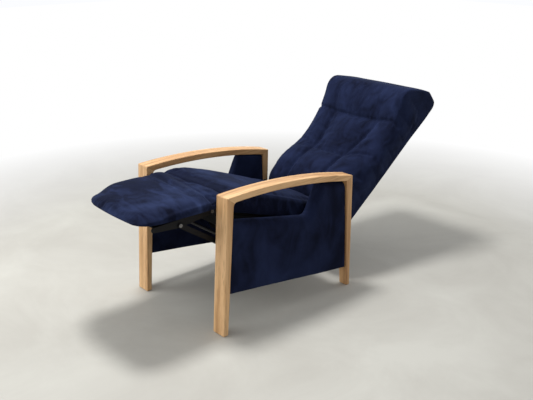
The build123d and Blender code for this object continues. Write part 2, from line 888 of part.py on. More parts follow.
with BuildPart() as lift_link:
    extrude(
        circles_hull(
            side_plane(link_inner),
            [(crank_arm_end, link_half_width), (lift_link_pivot, link_half_width + pivot_head_height)],
        ),
        amount=link_thickness,
    )
    plate_hole(side_plane(link_inner), [lift_link_pivot], pivot_radius + running_gap)
    plate_hole(side_plane(link_inner), [crank_arm_end], pivot_radius + open_pivot_gap)
write_pair(lift_link, "lift_link")

link_rivet_steps = [
    (crank_inner - pivot_head_height, crank_inner, pivot_head_radius),
    (crank_inner, link_outer + layer_gap, pivot_radius),
    (link_outer + layer_gap, link_outer + layer_gap + pivot_head_height, pivot_head_radius),
]
arm_rivet_steps = [
    (crank_inner, link_outer + layer_gap, pivot_radius),
    (link_outer + layer_gap, link_outer + layer_gap + pivot_head_height, pivot_head_radius),
]
with BuildPart() as crank_rivets:
    add(stepped_pin(crank_end, link_rivet_steps))
    add(stepped_pin(crank_arm_end, arm_rivet_steps))
write_group(crank_rivets, "crank_rivets")

with BuildPart() as sync_bar:
    with BuildSketch(side_plane(-crank_outer)):
        with Locations(sync_bar_place):
            Circle(sync_bar_radius)
    extrude(amount=2 * crank_outer)
write(sync_bar, "sync_bar")


# Soft pieces on the seat
def soft_loft(plane, rows, low):
    """A cushion lofted through its sections."""
    with BuildPart() as cushion:
        sections = []
        for place, inset, side, crown in rows:
            half = cushion_half_width - inset
            sections.append(soft_section(across(plane, place), half, low, side, crown, side_bulge))
        loft(sections)
    return cushion


seat_cushion = soft_loft(seat_plane(0), seat_cushion_rows, strap_thickness + fit_gap)
write(seat_cushion, "seat_cushion")

bridge_pad = soft_loft(side_plane(0), bridge_rows, bridge_low)
write(bridge_pad, "seat_bridge_pad")


# Back: frame, webbing, cushion, rear cover and brackets
def back_box(x, start, end):
    """A box of the back's frame from a place across the chair to its mirror image, or one post."""
    depth_middle = back_frame_front - back_post_depth / 2
    with BuildSketch(back_plane(x)) as section:
        with Locations(((start + end) / 2, depth_middle)):
            Rectangle(end - start, back_post_depth)
    return section.sketch


back_post_outer = crank_inner
back_post_inner = back_post_outer - rail_thickness
back_bracket_middle = back_frame_front - back_post_depth / 2
back_screw_places = [(back_bracket_reach * share, back_bracket_middle) for share in back_screw_shares]

with BuildPart() as back_post:
    extrude(back_box(back_post_inner, back_frame_foot, back_post_length), amount=rail_thickness)
    plate_hole(back_plane(back_post_outer), back_screw_places, screw_radius)
write_pair(back_post, "back_post")

for start, name in zip(back_rail_places, ("back_bottom_rail", "back_middle_rail", "back_top_rail")):
    with BuildPart() as back_rail:
        extrude(back_box(-back_post_inner, start, start + back_rail_width), amount=2 * back_post_inner)
    write(back_rail, name)

with BuildPart() as back_webbing:
    first_strap = back_rail_places[0] + back_rail_width + strap_width
    last_strap = back_rail_places[-1] - strap_width
    for number in range(back_strap_count):
        middle = first_strap + number * (last_strap - first_strap) / (back_strap_count - 1)
        with BuildSketch(back_plane(-back_post_outer + strap_end_inset)) as strap:
            with Locations((middle, back_frame_front + strap_thickness / 2)):
                Rectangle(strap_width, strap_thickness)
        extrude(strap.sketch, amount=2 * (back_post_outer - strap_end_inset))
write(back_webbing, "back_webbing")

back_cushion_base = back_frame_front + strap_thickness + fit_gap
with BuildPart() as back_cushion:
    back_sections = []
    for place, inset, side, seam_share, seam, centre, bolster in back_cushion_rows:
        half = cushion_half_width - inset
        seam_x = cushion_half_width * seam_share
        bolster_x = (half + seam_x) / 2
        with BuildSketch(across(back_plane(0), place)) as section:
            with BuildLine():
                Line((-half, back_cushion_base), (half, back_cushion_base))
                middle = (back_cushion_base + side) / 2
                ThreePointArc((half, back_cushion_base), (half + side_bulge, middle), (half, side))
                ThreePointArc((half, side), (bolster_x, bolster), (seam_x, seam))
                ThreePointArc((seam_x, seam), (0, centre), (-seam_x, seam))
                ThreePointArc((-seam_x, seam), (-bolster_x, bolster), (-half, side))
                ThreePointArc((-half, side), (-half - side_bulge, middle), (-half, back_cushion_base))
            make_face()
        back_sections.append(section.sketch)
    loft(back_sections)
write(back_cushion, "back_cushion")

with BuildPart() as back_cover:
    cover_front = back_cushion_base - fit_gap
    with BuildSketch(back_plane(-back_half_width)):
        with BuildLine():
            Polyline(
                (back_cover_foot, back_cover_rear),
                (back_cover_foot, cover_front),
                (back_length, cover_front),
                (back_length, back_cover_rear + back_cover_corner),
            )
            Line(
                (back_length, back_cover_rear + back_cover_corner),
                (back_length - back_cover_corner, back_cover_rear),
            )
            ThreePointArc(
                (back_length - back_cover_corner, back_cover_rear),
                (back_length / 2 - back_cover_corner, back_cover_hollow),
                (back_cover_foot, back_cover_rear),
            )
        make_face()
    extrude(amount=2 * back_half_width)
    with BuildSketch(back_plane(-back_half_width + back_cover_wall)) as room:
        room_foot = back_cover_foot + back_cover_wall
        room_top = back_length - back_cover_wall
        with Locations(((room_foot + room_top) / 2, (back_cover_room_rear + cover_front) / 2)):
            Rectangle(room_top - room_foot, cover_front - back_cover_room_rear)
    extrude(room.sketch, amount=2 * (back_half_width - back_cover_wall), mode=Mode.SUBTRACT)
write(back_cover, "back_cover")

with BuildPart() as back_bracket:
    bracket_level = back_plane(back_post_outer)
    strip_end = (back_bracket_reach - back_bracket_width / 2, back_bracket_middle)
    for hull in (
        [((0, 0), back_hinge_boss + layer_gap), ((0, back_bracket_middle), back_bracket_foot_radius)],
        [((0, back_bracket_middle), back_bracket_width / 2), (strip_end, back_bracket_width / 2)],
    ):
        extrude(circles_hull(bracket_level, hull), amount=link_thickness)
    plate_hole(bracket_level, [(0, 0)], pivot_radius + running_gap)
    plate_hole(bracket_level, back_screw_places, screw_radius)
write_pair(back_bracket, "back_bracket")

back_screw_tip = back_post_outer - rail_thickness * rail_screw_share
back_screw_seat = back_post_outer + link_thickness
back_bracket_screws = screws(back_screw_places, back_plane, back_screw_tip, back_screw_seat, 1)
write_group(back_bracket_screws, "back_bracket_screws")


# Legrest: board, pad, dust cover and the angle brackets that carry it
legrest_board_low = legrest_hinge[1]
legrest_board_top = legrest_board_low + legrest_board_thickness
legrest_screw_x = (legrest_flange_inner + legrest_board_half_width) / 2
legrest_bracket_length = legrest_board_rear - legrest_bracket_front
legrest_screw_places = [
    (legrest_screw_x, legrest_bracket_front + share * legrest_bracket_length - front_to_centre)
    for share in legrest_screw_shares
]


def upright_holes(level):
    """Cuts the holes of the legrest's screws from one side's piece or from the whole board."""
    with BuildSketch(Plane.XY.offset(level)) as holes:
        for x, y in legrest_screw_places:
            with Locations((x, y), (-x, y)):
                Circle(screw_radius)
    extrude(holes.sketch, amount=legrest_board_thickness / 2, both=True, mode=Mode.SUBTRACT)


with BuildPart() as legrest_board:
    with BuildSketch(Plane.XY.offset(legrest_board_low)) as board_face:
        board_length = legrest_board_rear - legrest_board_front
        with Locations((0, (legrest_board_rear + legrest_board_front) / 2 - front_to_centre)):
            Rectangle(2 * legrest_board_half_width, board_length)
        fillet(board_face.vertices().group_by(Axis.Y)[0], radius=legrest_board_corner)
    extrude(amount=legrest_board_thickness)
    upright_holes(legrest_board_low)
write(legrest_board, "legrest_board")

legrest_pad = soft_loft(side_plane(0), legrest_pad_rows, legrest_board_top + fit_gap)
write(legrest_pad, "legrest_pad")

with BuildPart() as legrest_dust_cover:
    with BuildSketch(side_plane(-legrest_flange_inner + fit_gap)):
        with Locations((
            (legrest_board_front + legrest_board_rear) / 2,
            legrest_board_low - fit_gap / 2 - cover_cloth / 2,
        )):
            Rectangle(legrest_board_rear - legrest_board_front - legrest_board_corner, cover_cloth)
    extrude(amount=2 * (legrest_flange_inner - fit_gap))
write(legrest_dust_cover, "legrest_dust_cover")

with BuildPart() as legrest_bracket:
    web_level = side_plane(crank_inner)
    web_end = (legrest_bracket_front + link_half_width, legrest_board_low - link_half_width)
    for hull in (
        [(legrest_hinge, link_half_width), (coupler_end, link_half_width)],
        [(coupler_end, link_half_width), (web_end, link_half_width)],
        [(legrest_hinge, link_half_width), (web_end, link_half_width)],
    ):
        extrude(circles_hull(web_level, hull), amount=link_thickness)
    flange_low = legrest_board_low - legrest_flange_thickness
    flange_front = legrest_bracket_front + link_half_width
    with BuildSketch(side_plane(legrest_flange_inner)) as flange:
        with Locations(((flange_front + legrest_board_rear) / 2, (flange_low + legrest_board_low) / 2)):
            Rectangle(legrest_board_rear - flange_front, legrest_flange_thickness)
    extrude(flange.sketch, amount=crank_inner - legrest_flange_inner)
    plate_hole(web_level, [legrest_hinge], pivot_radius + running_gap)
    plate_hole(web_level, [coupler_end], pivot_radius)
    upright_holes(legrest_board_low)
write_pair(legrest_bracket, "legrest_bracket")

with BuildPart() as legrest_screws:
    for place in legrest_screw_places:
        with BuildSketch(Plane.XY.offset(flange_low)) as shank:
            with Locations(place):
                Circle(screw_radius)
        extrude(shank.sketch, amount=legrest_flange_thickness + legrest_board_thickness / 2)
        with BuildSketch(Plane.XY.offset(flange_low)) as head:
            with Locations(place):
                Circle(screw_head_radius)
        extrude(head.sketch, amount=-screw_head_height)
write_group(legrest_screws, "legrest_screws")

with BuildPart() as legrest_rivets:
    add(stepped_pin(coupler_end, link_rivet_steps))
write_group(legrest_rivets, "legrest_rivets")
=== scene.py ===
import json
import math

import bmesh
import bpy
from mathutils import Matrix, Vector, noise


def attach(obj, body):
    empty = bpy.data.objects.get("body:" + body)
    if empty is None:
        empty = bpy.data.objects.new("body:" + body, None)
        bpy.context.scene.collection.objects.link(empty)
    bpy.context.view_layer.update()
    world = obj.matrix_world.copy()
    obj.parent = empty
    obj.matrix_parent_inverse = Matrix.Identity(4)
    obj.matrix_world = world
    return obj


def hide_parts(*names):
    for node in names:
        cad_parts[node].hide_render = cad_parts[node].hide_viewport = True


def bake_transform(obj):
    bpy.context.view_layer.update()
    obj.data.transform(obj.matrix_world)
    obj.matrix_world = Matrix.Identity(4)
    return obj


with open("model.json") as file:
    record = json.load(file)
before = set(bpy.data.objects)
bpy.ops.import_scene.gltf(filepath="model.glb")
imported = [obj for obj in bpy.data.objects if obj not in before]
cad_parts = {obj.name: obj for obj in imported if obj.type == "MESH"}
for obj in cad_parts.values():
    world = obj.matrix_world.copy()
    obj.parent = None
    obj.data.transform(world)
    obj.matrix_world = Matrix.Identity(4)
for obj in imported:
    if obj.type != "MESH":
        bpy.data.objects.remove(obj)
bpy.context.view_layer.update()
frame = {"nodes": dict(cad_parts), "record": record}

scene = bpy.context.scene
scene.view_settings.view_transform = "Standard"
print("frame loaded:", len(frame["nodes"]), "nodes")

# Where the chair stands in its frame, and the slopes of the seat and the back in degrees
chair = {
    "frontToCentre": 0.582,
    "seatStart": (0.100, 0.520),
    "seatSlope": -17.8,
    "backHinge": (0.728, 0.405),
    "backSlope": 39.4,
}


def slopedPoint(start, slope, x, along, out):
    # the point that lies so far along a sloping line of the chair's side and so far out from it
    c, s = math.cos(math.radians(slope)), math.sin(math.radians(slope))
    y = start[0] + along * c - out * s - chair["frontToCentre"]
    return Vector((x, y, start[1] + along * s + out * c))


def slopedPlace(start, slope, point):
    # x, along and out of a point, the reverse of slopedPoint
    c, s = math.cos(math.radians(slope)), math.sin(math.radians(slope))
    y = point.y + chair["frontToCentre"] - start[0]
    z = point.z - start[1]
    return point.x, y * c + z * s, z * c - y * s


def seatPoint(x, along, out):
    return slopedPoint(chair["seatStart"], chair["seatSlope"], x, along, out)


def seatPlace(point):
    return slopedPlace(chair["seatStart"], chair["seatSlope"], point)


def backPoint(x, along, out):
    return slopedPoint(chair["backHinge"], chair["backSlope"], x, along, out)


def backPlace(point):
    return slopedPlace(chair["backHinge"], chair["backSlope"], point)


def sidePoint(x, y, z):
    # y counts from a line just in front of the front feet
    return Vector((x, y - chair["frontToCentre"], z))


def between(low, high, spot):
    # a cube's own coordinate runs from -1 at the low end to 1 at the high end
    return low + (spot + 1) / 2 * (high - low)


def alongRows(rows, spot):
    return between(rows[0][0], rows[-1][0], spot)


def clamped(value):
    return max(0.0, min(1.0, value))


def rowAt(rows, place):
    # smooth values between the rows of a table whose first column is the place
    if place <= rows[0][0]:
        return rows[0][1:]
    if place >= rows[-1][0]:
        return rows[-1][1:]
    i = max(n for n, row in enumerate(rows) if row[0] <= place)
    before, start = rows[max(i - 1, 0)], rows[i]
    end, after = rows[i + 1], rows[min(i + 2, len(rows) - 1)]
    gap = end[0] - start[0]
    t = (place - start[0]) / gap
    values = []
    for n in range(1, len(start)):
        slopeIn = (end[n] - before[n]) / (end[0] - before[0]) * gap
        slopeOut = (after[n] - start[n]) / (after[0] - start[0]) * gap
        values.append(
            (2 * t ** 3 - 3 * t ** 2 + 1) * start[n] + (t ** 3 - 2 * t ** 2 + t) * slopeIn
            + (3 * t ** 2 - 2 * t ** 3) * end[n] + (t ** 3 - t ** 2) * slopeOut
        )
    return values


def lineDistance(point, line):
    # distance from a flat point to a line of points, and how far along the line that is
    nearest, nearestAlong, run = math.inf, 0.0, 0.0
    for start, end in zip(line, line[1:]):
        dx, dy = end[0] - start[0], end[1] - start[1]
        length = math.hypot(dx, dy)
        t = clamped(((point[0] - start[0]) * dx + (point[1] - start[1]) * dy) / length ** 2)
        distance = math.hypot(point[0] - start[0] - t * dx, point[1] - start[1] - t * dy)
        if distance < nearest:
            nearest, nearestAlong = distance, run + t * length
        run += length
    return nearest, nearestAlong


def lineHeight(line, place):
    # height of a line of points at a place, straight on beyond its ends
    for start, end in zip(line, line[1:]):
        if place <= end[0] or end is line[-1]:
            return start[1] + (end[1] - start[1]) * (place - start[0]) / (end[0] - start[0])


def bell(distance, width):
    return math.exp(-(distance / width) ** 2)


def ripple(u, v, scale, seed, lean=(0, 0), shift=0):
    # smooth noise over two flat coordinates, whose folds lean lets run aslant
    return noise.noise(Vector((u * scale[0] + v * lean[0] + shift, v * scale[1] + u * lean[1], seed)))


# How every padded piece is softened at its edges and filled
padding = {
    "edgeCells": 2.2,
    "tolerance": 1e-6,
    "smoothing": 0.5,
    "frames": 20,
    "quality": 5,
    "mass": 0.3,
    "bending": 0.3,
    "sink": 0.002,
}


def addObject(name, bm):
    mesh = bpy.data.meshes.new(name)
    bm.to_mesh(mesh)
    bm.free()
    for face in mesh.polygons:
        face.use_smooth = True
    made = bpy.data.objects.new(name, mesh)
    scene.collection.objects.link(made)
    return made


def soften(bm, verts):
    bmesh.ops.smooth_vert(
        bm, verts=verts, factor=padding["smoothing"], use_axis_x=True, use_axis_y=True, use_axis_z=True
    )


def softBlock(name, cuts, place, rounds):
    # a cube cut into a grid, laid out by a function of its own three coordinates and softened at its edges
    bm = bmesh.new()
    bmesh.ops.create_cube(bm, size=2)
    for axis in range(3):
        lines = []
        for edge in bm.edges:
            if abs((edge.verts[0].co - edge.verts[1].co)[axis]) > padding["tolerance"]:
                lines.append(edge)
        bmesh.ops.subdivide_edges(bm, edges=lines, cuts=cuts[axis], use_grid_fill=True)
    reach = padding["edgeCells"] / min(cuts)
    edgeVerts = [vert for vert in bm.verts if sorted(1 - abs(value) for value in vert.co)[1] < reach]
    for vert in bm.verts:
        vert.co = place(*vert.co)
    for _ in range(rounds):
        soften(bm, edgeVerts)
    bmesh.ops.recalc_face_normals(bm, faces=bm.faces)
    return addObject(name, bm)


def inflate(piece, held, pressure, cap, spare):
    # cloth with spare length under pressure from inside, held at some points; the others move outwards up to
    # the cap and hardly inwards
    start = [vert.co.copy() for vert in piece.data.vertices]
    outward = [vert.normal.copy() for vert in piece.data.vertices]
    group = piece.vertex_groups.new(name="held")
    group.add([vert.index for vert in piece.data.vertices if held(vert.co)], 1.0, "REPLACE")
    cloth = piece.modifiers.new("cloth", "CLOTH")
    cloth.settings.vertex_group_mass = "held"
    cloth.settings.quality = padding["quality"]
    cloth.settings.mass = padding["mass"]
    cloth.settings.use_pressure = True
    cloth.settings.uniform_pressure_force = pressure
    cloth.settings.effector_weights.gravity = 0
    cloth.settings.shrink_min = -spare
    cloth.settings.bending_stiffness = padding["bending"]
    cloth.collision_settings.use_collision = False
    cloth.point_cache.frame_start = 1
    cloth.point_cache.frame_end = padding["frames"]
    for number in range(1, padding["frames"] + 1):
        scene.frame_set(number)
    shaped = piece.evaluated_get(bpy.context.evaluated_depsgraph_get()).to_mesh()
    for vert, new, old, normal in zip(piece.data.vertices, shaped.vertices, start, outward):
        way = new.co - old
        inwards = -way.dot(normal) - padding["sink"]
        if inwards > 0:
            way += normal * inwards
        if way.length > cap:
            way *= cap / way.length
        vert.co = old + way
    piece.modifiers.remove(cloth)
    piece.vertex_groups.clear()
    scene.frame_set(1)


def refine(piece, levels=1):
    # finer levels, applied, so that seams and folds can be drawn into them
    bm = bmesh.new()
    bm.from_mesh(piece.data)
    for _ in range(levels):
        bmesh.ops.subdivide_edges(bm, edges=bm.edges, cuts=1, use_grid_fill=True)
        soften(bm, bm.verts)
    bm.to_mesh(piece.data)
    bm.free()
    for face in piece.data.polygons:
        face.use_smooth = True


def press(piece, depthAt):
    # moves each point inwards along its normal by a depth that a function gives for its place
    normals = [vert.normal.copy() for vert in piece.data.vertices]
    places = [vert.co.copy() for vert in piece.data.vertices]
    for vert, normal, place in zip(piece.data.vertices, normals, places):
        depth = depthAt(place, normal)
        if depth:
            vert.co = place - normal * depth
    piece.data.update()


def finishSoft(piece, material, *nodes, fill):
    piece.data.materials.append(material)
    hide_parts(*nodes)


# Materials
class Wire:
    # a socket that can stand in a sum, a difference or a product
    def __init__(self, finish, socket):
        self.finish, self.socket = finish, socket

    def maths(self, operation, first, second):
        return self.finish.add("ShaderNodeMath", {"operation": operation}, {0: first, 1: second})

    def __add__(self, other):
        return self.maths("ADD", self, other)

    def __radd__(self, other):
        return self.maths("ADD", other, self)

    def __sub__(self, other):
        return self.maths("SUBTRACT", self, other)

    def __rsub__(self, other):
        return self.maths("SUBTRACT", other, self)

    def __mul__(self, other):
        return self.maths("MULTIPLY", self, other)

    def __rmul__(self, other):
        return self.maths("MULTIPLY", other, self)


class Finish:
    # a material and the nodes that it is made of
    def __init__(self, name, **values):
        self.material = bpy.data.materials.new(name)
        self.material.use_nodes = True
        self.tree = self.material.node_tree
        self.shader = self.tree.nodes["Principled BSDF"]
        for socket, value in values.items():
            self.set(self.shader, socket.replace("_", " "), value)

    def set(self, node, socket, value):
        if isinstance(value, Wire):
            self.tree.links.new(value.socket, node.inputs[socket])
        else:
            if isinstance(value, tuple) and len(value) < len(node.inputs[socket].default_value):
                value = (*value, 1.0)
            node.inputs[socket].default_value = value

    def add(self, kind, settings=None, values=None, out=0):
        node = self.tree.nodes.new(kind)
        for name, value in (settings or {}).items():
            if name == "stops":
                ramp = node.color_ramp
                while len(ramp.elements) < len(value):
                    ramp.elements.new(0.5)
                for element, (position, colour) in zip(ramp.elements, value):
                    element.position = position
                    element.color = (*colour, 1.0) if isinstance(colour, tuple) else (*[colour] * 3, 1.0)
            else:
                setattr(node, name, value)
        for socket, value in (values or {}).items():
            self.set(node, socket, value)
        return Wire(self, node.outputs[out])

    def place(self, scale=(1, 1, 1), turn=(0, 0, 0), move=(0, 0, 0)):
        spot = self.add("ShaderNodeTexCoord", out="Object")
        values = {"Vector": spot, "Scale": scale, "Rotation": turn, "Location": move}
        return self.add("ShaderNodeMapping", values=values)

    def cloud(self, place, scale, detail=4.0, rough=0.55, distort=0.0):
        values = {"Vector": place, "Scale": scale, "Detail": detail}
        values.update({"Roughness": rough, "Distortion": distort})
        return self.add("ShaderNodeTexNoise", values=values)

    def ramp(self, wire, *stops):
        return self.add("ShaderNodeValToRGB", {"stops": stops}, {"Fac": wire})

    def mix(self, share, first, second):
        # sockets 6 and 7 of the node are its two colours, and output 2 is the mixed one
        return self.add("ShaderNodeMix", {"data_type": "RGBA"}, {0: share, 6: first, 7: second}, out=2)

    def colour(self, value):
        self.set(self.shader, "Base Color", value)

    def rough(self, value):
        self.set(self.shader, "Roughness", value)

    def bump(self, height, distance):
        values = {"Height": height, "Distance": distance, "Strength": 1.0}
        self.set(self.shader, "Normal", self.add("ShaderNodeBump", values=values))


# Suede: brushed patches and strokes over a dark ground, and a fine nap
suede = {
    "dark": (0.0024, 0.0034, 0.0115),
    "middle": (0.0048, 0.0069, 0.0230),
    "light": (0.0165, 0.0250, 0.0700),
    "bright": (0.0280, 0.0420, 0.1080),
    "nap": (0.006, 0.008, 0.02),
    "sheenTint": (0.30, 0.46, 0.95),
    "sheen": 0.05,
    "gloss": 0.06,
    "patchScale": 3.6,
    "strokeScale": 11.0,
    "napScale": 520.0,
    "patchShare": 0.6,
    "strokeShare": 0.4,
    "napShare": 0.25,
    "napDepth": 0.6,
    "strokeDepth": 0.4,
    "groundStops": (0.3, 0.7),
    "leastRough": 0.82,
    "napRough": 0.16,
    "relief": 0.0007,
}


def makeSuede(name, brushedColour, stretch, turn, start, width):
    # stretch and turn lay the strokes, and start and width say how much of the cloth is brushed light
    finish = Finish(name, Sheen_Weight=suede["sheen"], Sheen_Roughness=0.45, Sheen_Tint=suede["sheenTint"])
    finish.set(finish.shader, "Specular IOR Level", suede["gloss"])
    spot = finish.place()
    patches = finish.cloud(spot, suede["patchScale"], detail=3.0, rough=0.5, distort=0.7)
    strokes = finish.cloud(finish.place(stretch, turn), suede["strokeScale"], detail=3.0, distort=0.9)
    nap = finish.cloud(spot, suede["napScale"], detail=2.0)
    streaks = patches * suede["patchShare"] + strokes * suede["strokeShare"]
    brushed = finish.ramp(streaks, (start, 0.0), (start + width, 1.0))
    low, high = suede["groundStops"]
    ground = finish.mix(finish.ramp(strokes, (low, 0.0), (high, 1.0)), suede["dark"], suede["middle"])
    cloth = finish.mix(brushed, ground, suede[brushedColour])
    finish.colour(finish.mix(nap * suede["napShare"], cloth, suede["nap"]))
    finish.rough(suede["leastRough"] + suede["napRough"] * nap)
    finish.bump(nap * suede["napDepth"] + strokes * suede["strokeDepth"], suede["relief"])
    return finish.material


# Oak: broad bands, fine lines and dark pores, all drawn out along the grain
oak = {
    "colours": ((0.400, 0.205, 0.082), (0.570, 0.325, 0.140), (0.720, 0.450, 0.220)),
    "pore": (0.230, 0.110, 0.042),
    "bandScale": 9.0,
    "lineScale": 55.0,
    "poreScale": 240.0,
    "bandStretch": 0.12,
    "lineStretch": 0.03,
    "poreStretch": 0.035,
    "bandShare": 0.4,
    "lineShare": 0.6,
    "colourStops": (0.36, 0.46, 0.56),
    "poreStops": (0.57, 0.67),
    "poreShare": 0.4,
    "coat": 0.06,
    "leastRough": 0.46,
    "bandRough": 0.14,
    "poreRough": 0.1,
    "lineDepth": 0.5,
    "poreDepth": 0.6,
    "relief": 0.0005,
}


def makeOak(name, grain, turn=(0, 0, 0), move=(0, 0, 0)):
    # grain is the axis that the fibres follow
    finish = Finish(name, Coat_Weight=oak["coat"], Coat_Roughness=0.5)

    def stretched(share):
        scale = [1.0, 1.0, 1.0]
        scale[grain] = share
        return finish.place(tuple(scale), turn, move)

    def grainCloud(kind, **looks):
        return finish.cloud(stretched(oak[kind + "Stretch"]), oak[kind + "Scale"], **looks)

    bands = grainCloud("band", detail=3.0, rough=0.5, distort=0.35)
    lines = grainCloud("line", detail=5.0, rough=0.62, distort=0.15)
    pores = grainCloud("pore", detail=2.0, rough=0.5)
    stops = zip(oak["colourStops"], oak["colours"])
    wood = finish.ramp(bands * oak["bandShare"] + lines * oak["lineShare"], *stops)
    low, high = oak["poreStops"]
    poreMask = finish.ramp(pores, (low, 0.0), (high, 1.0))
    finish.colour(finish.mix(poreMask * oak["poreShare"], wood, oak["pore"]))
    finish.rough(oak["leastRough"] + oak["bandRough"] * bands + oak["poreRough"] * poreMask)
    finish.bump(lines * oak["lineDepth"] - poreMask * oak["poreDepth"], oak["relief"])
    return finish.material


# Metals, inner woods, glides and woven cloth
plain = {
    "grainStops": (0.35, 0.65),
    "grainRough": 0.16,
    "relief": 0.0002,
    "alongGrain": (1, 0.1, 1),
    "threadShade": 0.5,
    "threadRough": 0.9,
    "threadRelief": 0.0004,
}


def makePlain(name, colour, rough, scale, spread, metal=0.0, stretch=(1, 1, 1), gloss=0.5):
    # a plain finish with the small unevenness of a real one
    finish = Finish(name, Metallic=metal)
    finish.set(finish.shader, "Specular IOR Level", gloss)
    grain = finish.cloud(finish.place(stretch), scale)
    dark = tuple(value * (1 - spread) for value in colour)
    light = tuple(min(1.0, value * (1 + spread)) for value in colour)
    low, high = plain["grainStops"]
    finish.colour(finish.mix(finish.ramp(grain, (low, 0.0), (high, 1.0)), dark, light))
    finish.rough(rough + plain["grainRough"] * grain)
    finish.bump(grain, plain["relief"])
    return finish.material


def makeWeave(name, colour, threadScale):
    # crossed threads of a cloth or a strap
    finish = Finish(name, Roughness=plain["threadRough"])

    def threadsAlong(axis):
        values = {"Vector": finish.place(), "Scale": threadScale}
        return finish.add("ShaderNodeTexWave", {"bands_direction": axis}, values)

    threads = threadsAlong("X") * threadsAlong("Y")
    finish.colour(finish.mix(threads, tuple(value * plain["threadShade"] for value in colour), colour))
    finish.bump(threads, plain["threadRelief"])
    return finish.material


materials = {
    "navy_suede": makeSuede("navySuede", "bright", (0.9, 1.6, 1), (0, 0, -0.3), start=0.45, width=0.38),
    "oiled_oak": makeOak("oakUpright", grain=2),
    "beech_dowel": makePlain("beechDowel", (0.62, 0.44, 0.27), rough=0.55, scale=60, spread=0.15),
    # painted shade: the stained beech rails under the seat cushion are coloured near black, darker than the
    # stain itself, as the shade that falls there
    "stained_beech": makePlain(
        "stainedBeechPaintedShade", (0.0035, 0.0032, 0.003), rough=0.7, scale=40, spread=0.3, stretch=plain["alongGrain"],
        gloss=0.1,
    ),
    "frame_beech": makePlain(
        "frameBeech", (0.42, 0.28, 0.155), rough=0.6, scale=40, spread=0.2, stretch=plain["alongGrain"]
    ),
    "panel_board": makePlain("plywood", (0.40, 0.28, 0.16), rough=0.65, scale=50, spread=0.2),
    "felt_glide": makePlain("darkGlide", (0.02, 0.018, 0.016), rough=0.7, scale=300, spread=0.3),
    # painted shade: the black dust cloth under the chair is coloured darker still, as the shade beneath the
    # seat and legrest
    "dust_cloth": makeWeave("dustClothPaintedShade", (0.006, 0.006, 0.007), threadScale=420),
    "elastic_webbing": makeWeave("elasticWebbing", (0.10, 0.085, 0.07), threadScale=260),
    # painted shade: the zinc-plated pins and rivets under the legrest are coloured dark grey, far darker than
    # zinc, as the shade they sit in
    "zinc_steel": makePlain("zincSteelPaintedShade", (0.16, 0.16, 0.155), rough=0.45, scale=180, spread=0.15, metal=1.0),
    # painted shade: the dark steel linkage under the legrest is coloured near black, darker than its own
    # finish, as the shade there
    "dark_steel": makePlain(
        "darkSteelPaintedShade", (0.0035, 0.0035, 0.004), rough=0.5, scale=150, spread=0.3, gloss=0.16
    ),
}
# the covers that are brushed another way, and the nodes that differ from their slot's own finish
legrestSuede = makeSuede("legrestSuede", "bright", (0.8, 1.7, 1), (0, 0, -0.5), start=0.42, width=0.30)
panelSuede = makeSuede("panelSuede", "light", (1, 0.8, 0.5), (0.5, 0.2, 0.4), start=0.38, width=0.34)
backSuede = makeSuede("backSuede", "light", (1.6, 0.9, 0.9), (0.69, 0, 0.5), start=0.38, width=0.34)
oakAlong = makeOak("oakAlong", grain=1, turn=(0.03, 0, 0), move=(0.3, 0, 0.2))
# painted shade: the plywood legrest board is coloured near black where it lies in the shade under the legrest
legrestBoardPaintedShade = makePlain("legrestBoardPaintedShade", (0.016, 0.014, 0.014), rough=0.8, scale=300, spread=0.3, gloss=0.2)
ownFinishes = {
    "left_arm_rail": oakAlong,
    "right_arm_rail": oakAlong,
    "legrest_board": legrestBoardPaintedShade,  # coloured near black as painted shade under the legrest
}
slotOf = {row["node"]: row["material_slot"] for row in frame["record"]["subparts"]}
for name, node in frame["nodes"].items():
    node.data.materials.clear()
    node.data.materials.append(ownFinishes.get(name, materials[slotOf[name]]))
print("materials done")

